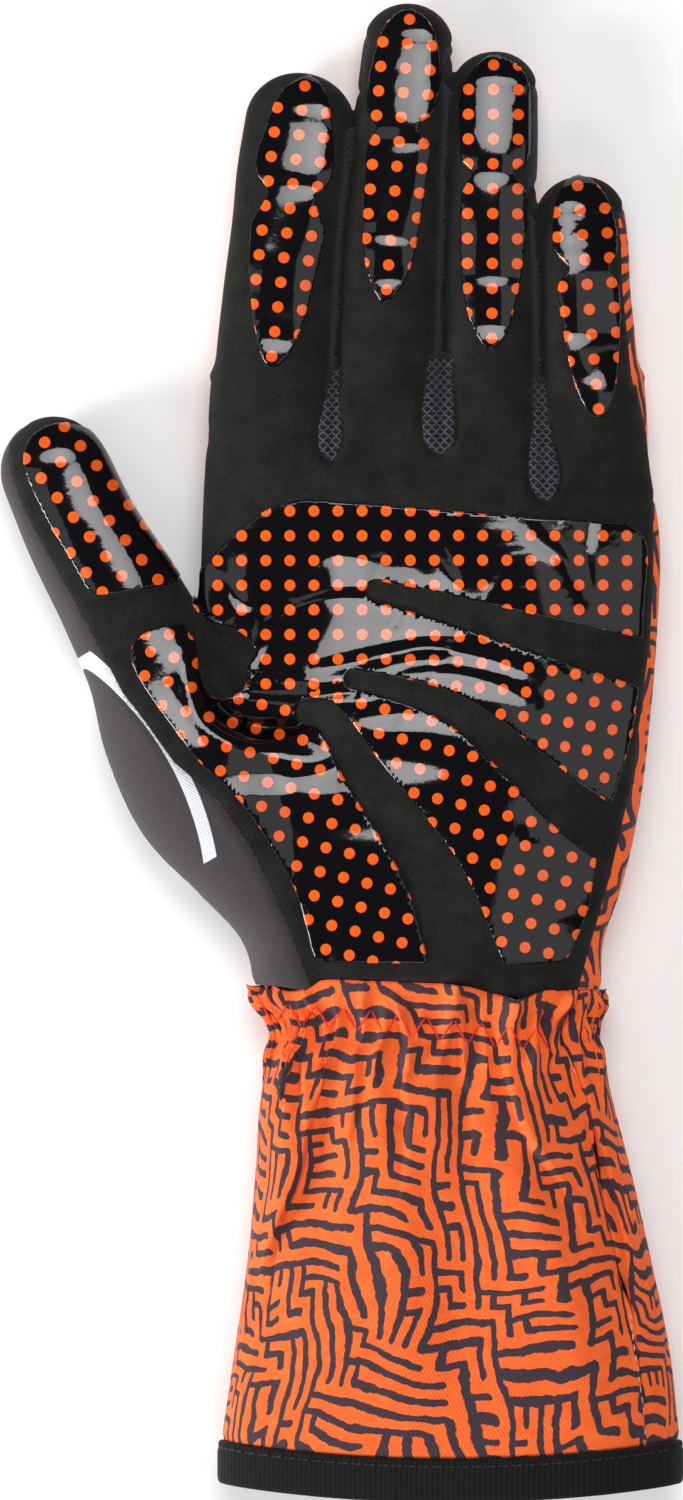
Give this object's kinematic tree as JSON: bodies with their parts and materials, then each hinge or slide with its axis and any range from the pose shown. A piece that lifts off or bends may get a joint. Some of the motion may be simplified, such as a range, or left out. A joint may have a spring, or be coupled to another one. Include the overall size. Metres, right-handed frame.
{
  "type": "left-hand karting glove",
  "caption": "Long-cuff left-hand karting glove lying palm up, with suede palm, dotted grip patches, printed knit back, net finger gussets and a gathered flared cuff.",
  "frame": {"origin": "on the surface it lies on, under the middle of the glove's box", "axes": "+Y from the cuff's mouth to the finger tips, +Z out of the palm side, -X to the thumb side"},
  "size_m": [0.1362, 0.299, 0.026],
  "materials": {
    "suede": "black napped synthetic suede, matt",
    "printed_knit": "orange stretch knit with a dark printed line pattern",
    "grey_knit": "dark grey stretch knit, fine twill face",
    "navy_knit": "navy ribbed stretch knit",
    "net": "dark spacer net",
    "grip_film": "glossy black silicone film with orange dots",
    "binding": "black stretch binding tape, stitched"
  },
  "bodies": {
    "root": {"palm_panel": "suede", "back_panel": "printed_knit", "thumb_side_panel": "grey_knit", "fourchette_index_middle": "navy_knit", "fourchette_middle_ring": "navy_knit", "fourchette_ring_little": "navy_knit", "web_gusset_index_middle": "net", "web_gusset_middle_ring": "net", "web_gusset_ring_little": "net", "index_grip": "grip_film", "middle_grip": "grip_film", "ring_grip": "grip_film", "little_grip": "grip_film", "thumb_grip": "grip_film", "palm_grip": "grip_film", "cuff_front": "printed_knit", "cuff_back": "printed_knit", "cuff_hem": "binding"}
  },
  "joints": []
}
